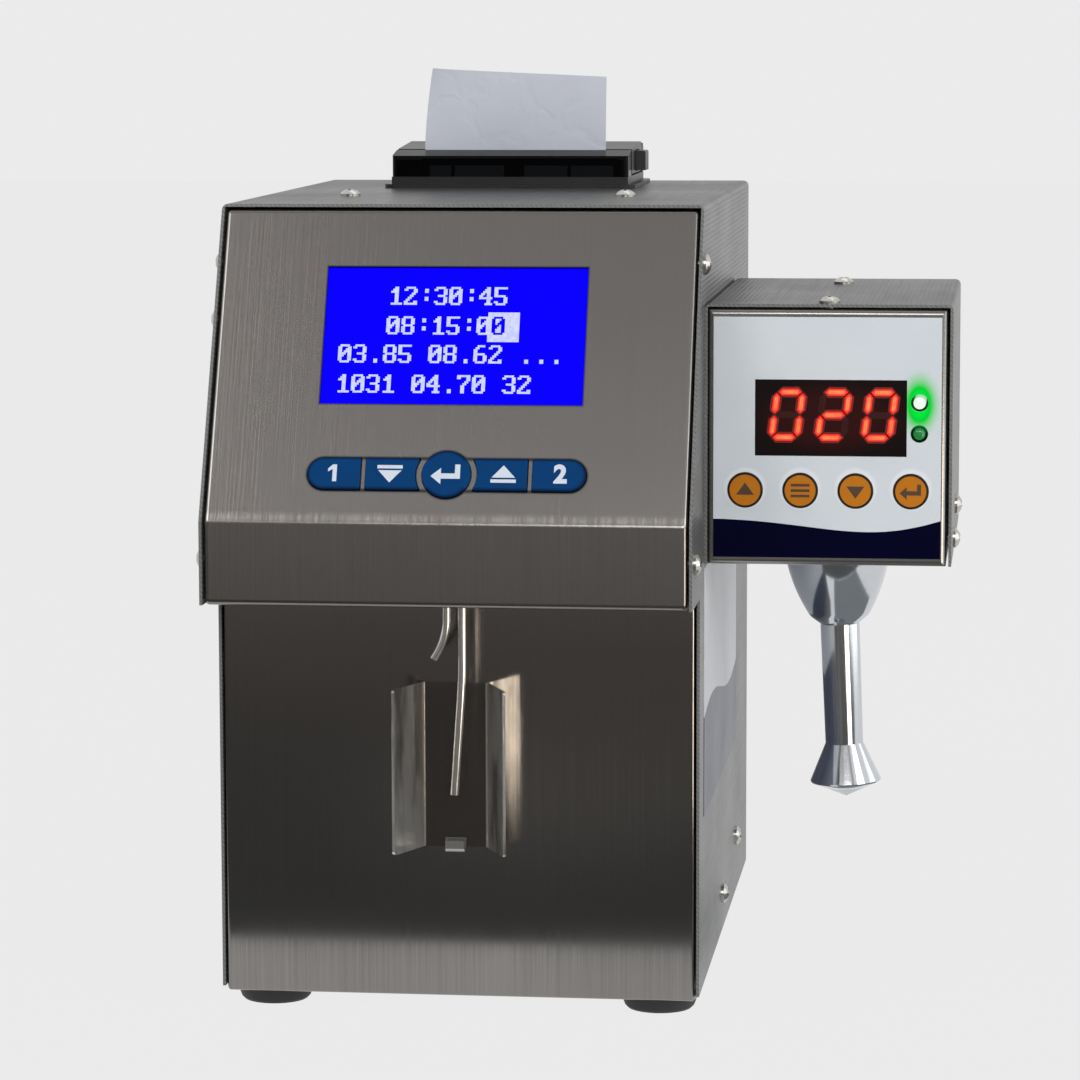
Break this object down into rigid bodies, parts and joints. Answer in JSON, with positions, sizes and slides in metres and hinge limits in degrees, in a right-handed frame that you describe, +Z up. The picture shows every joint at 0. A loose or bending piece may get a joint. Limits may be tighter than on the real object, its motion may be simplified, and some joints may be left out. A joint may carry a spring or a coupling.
{
  "type": "milk analyzer",
  "caption": "Bench milk analyzer: steel case with a tilted display and keys, sample tubes under its head, a roll printer on top and a side stirrer box with a sonic horn.",
  "frame": {"origin": "on the floor under the feet, at the middle of the whole footprint with the stirrer box", "axes": "+Z up, -Y towards the tilted display and keys, +X towards the side with the stirrer box"},
  "size_m": [0.2062, 0.222, 0.2609],
  "materials": {
    "cover_grey": "fine embossed grey laminate",
    "panel_steel": "vertical brush grain",
    "frame_steel": "plain rolled sheet",
    "screw_steel": "bright plated",
    "horn_steel": "mirror polished",
    "tube_steel": "satin drawn",
    "foot_rubber": "moulded",
    "gasket_rubber": "moulded",
    "hose_silicone": "translucent",
    "platen_rubber": "ground",
    "glass_clear": "clear over a lit blue display",
    "window_smoked": "smoked",
    "key_blue": "moulded with pale symbols",
    "key_orange": "domed film over a button",
    "overlay_print": "printed film",
    "label_print": "printed film",
    "printer_grey": "satin moulded",
    "printer_black": "glossy moulded",
    "paper_white": "thermal paper",
    "board_green": "solder mask",
    "black_plastic": "moulded",
    "white_plastic": "moulded",
    "cell_plastic": "machined block",
    "crystal_brass": "turned holders",
    "head_ceramic": "glazed strip",
    "ring_ceramic": "sintered",
    "brass": "machined",
    "light_green": "clear tinted dome"
  },
  "bodies": {
    "case": {"cover": "cover_grey", "base_plate": "frame_steel", "lower_panel": "panel_steel", "head_panel": "panel_steel", "rear_panel": "panel_steel", "inner_frame": "frame_steel", "case_screws": "screw_steel", "feet": "foot_rubber", "lcd_window": "glass_clear", "lcd_bezel": "black_plastic", "lcd_board": "board_green", "keypad_board": "board_green", "intake_tube": "tube_steel", "outlet_tube": "tube_steel", "tube_block": "black_plastic", "tube_holder": "tube_steel", "pump_housing": "white_plastic", "pump_motor": "frame_steel", "pump_hose": "hose_silicone", "intake_hose": "hose_silicone", "measuring_cell": "cell_plastic", "cell_crystals": "crystal_brass", "main_board": "board_green", "board_standoffs": "brass", "printer_case": "printer_grey", "printer_front_bar": "printer_black", "paper_strip": "paper_white", "thermal_head": "head_ceramic", "rocker_frame": "black_plastic", "power_inlet": "black_plastic", "serial_port": "screw_steel", "side_label": "label_print", "stirrer_cover": "cover_grey", "stirrer_tray": "panel_steel", "stirrer_overlay": "overlay_print", "display_window": "window_smoked", "stirrer_board": "board_green", "indicator_lights": "light_green", "horn": "horn_steel", "horn_gasket": "gasket_rubber", "driver_rings": "ring_ceramic", "driver_back": "frame_steel"},
    "key_one": {"key_one": "key_blue"},
    "key_down": {"key_down": "key_blue"},
    "key_enter": {"key_enter": "key_blue"},
    "key_up": {"key_up": "key_blue"},
    "key_two": {"key_two": "key_blue"},
    "stirrer_key_1": {"stirrer_key_1": "key_orange"},
    "stirrer_key_2": {"stirrer_key_2": "key_orange"},
    "stirrer_key_3": {"stirrer_key_3": "key_orange"},
    "stirrer_key_4": {"stirrer_key_4": "key_orange"},
    "lid": {"printer_lid": "printer_grey"},
    "platen": {"platen_roller": "platen_rubber"},
    "latch": {"printer_latch": "printer_black"},
    "roll": {"paper_roll": "paper_white"},
    "rotor": {"pump_rotor": "white_plastic"},
    "roller_1": {"pump_roller_1": "white_plastic"},
    "roller_2": {"pump_roller_2": "white_plastic"},
    "roller_3": {"pump_roller_3": "white_plastic"},
    "rocker": {"power_rocker": "black_plastic"}
  },
  "joints": [
    {"name": "key_one_press", "type": "slide", "parent": "case", "child": "key_one", "axis": [0, 0.9074, -0.4203], "range_m": [0, 0.0008], "stiffness_N_per_m": 400, "springref_m": -0.0005},
    {"name": "key_down_press", "type": "slide", "parent": "case", "child": "key_down", "axis": [0, 0.9074, -0.4203], "range_m": [0, 0.0008], "stiffness_N_per_m": 400, "springref_m": -0.0005},
    {"name": "key_enter_press", "type": "slide", "parent": "case", "child": "key_enter", "axis": [0, 0.9074, -0.4203], "range_m": [0, 0.0008], "stiffness_N_per_m": 400, "springref_m": -0.0005},
    {"name": "key_up_press", "type": "slide", "parent": "case", "child": "key_up", "axis": [0, 0.9074, -0.4203], "range_m": [0, 0.0008], "stiffness_N_per_m": 400, "springref_m": -0.0005},
    {"name": "key_two_press", "type": "slide", "parent": "case", "child": "key_two", "axis": [0, 0.9074, -0.4203], "range_m": [0, 0.0008], "stiffness_N_per_m": 400, "springref_m": -0.0005},
    {"name": "stirrer_key_1_press", "type": "slide", "parent": "case", "child": "stirrer_key_1", "axis": [0, 1, 0], "range_m": [0, 0.0004], "stiffness_N_per_m": 400, "springref_m": -0.0005},
    {"name": "stirrer_key_2_press", "type": "slide", "parent": "case", "child": "stirrer_key_2", "axis": [0, 1, 0], "range_m": [0, 0.0004], "stiffness_N_per_m": 400, "springref_m": -0.0005},
    {"name": "stirrer_key_3_press", "type": "slide", "parent": "case", "child": "stirrer_key_3", "axis": [0, 1, 0], "range_m": [0, 0.0004], "stiffness_N_per_m": 400, "springref_m": -0.0005},
    {"name": "stirrer_key_4_press", "type": "slide", "parent": "case", "child": "stirrer_key_4", "axis": [0, 1, 0], "range_m": [0, 0.0004], "stiffness_N_per_m": 400, "springref_m": -0.0005},
    {"name": "lid_hinge", "type": "hinge", "parent": "case", "child": "lid", "pos_m": [-0.03505, 0.0823, 0.2335], "axis": [-1, 0, 0], "range_deg": [0, 75]},
    {"name": "platen_turn", "type": "hinge", "parent": "lid", "child": "platen", "pos_m": [-0.03505, 0.05615, 0.2311], "axis": [1, 0, 0], "continuous": true},
    {"name": "latch_press", "type": "hinge", "parent": "lid", "child": "latch", "pos_m": [0.00005, 0.0715, 0.2302], "axis": [0, -1, 0], "range_deg": [0, 7], "stiffness_Nm_per_rad": 0.02},
    {"name": "roll_turn", "type": "hinge", "parent": "case", "child": "roll", "pos_m": [-0.03505, 0.068, 0.2059], "axis": [1, 0, 0], "continuous": true},
    {"name": "pump_turn", "type": "hinge", "parent": "case", "child": "rotor", "pos_m": [-0.06205, -0.0605, 0.072], "axis": [0, 1, 0], "continuous": true},
    {"name": "roller_1_turn", "type": "hinge", "parent": "rotor", "child": "roller_1", "pos_m": [-0.04755, -0.0605, 0.072], "axis": [0, 1, 0], "continuous": true},
    {"name": "roller_2_turn", "type": "hinge", "parent": "rotor", "child": "roller_2", "pos_m": [-0.0693, -0.0605, 0.08456], "axis": [0, 1, 0], "continuous": true},
    {"name": "roller_3_turn", "type": "hinge", "parent": "rotor", "child": "roller_3", "pos_m": [-0.0693, -0.0605, 0.05944], "axis": [0, 1, 0], "continuous": true},
    {"name": "rocker_tip", "type": "hinge", "parent": "case", "child": "rocker", "pos_m": [-0.07405, 0.1036, 0.045], "axis": [-1, 0, 0], "range_deg": [0, 9]}
  ],
  "couplings": [
    {"joint": "roller_1_turn", "follows": "pump_turn", "ratio": -3.9},
    {"joint": "roller_2_turn", "follows": "pump_turn", "ratio": -3.9},
    {"joint": "roller_3_turn", "follows": "pump_turn", "ratio": -3.9}
  ]
}
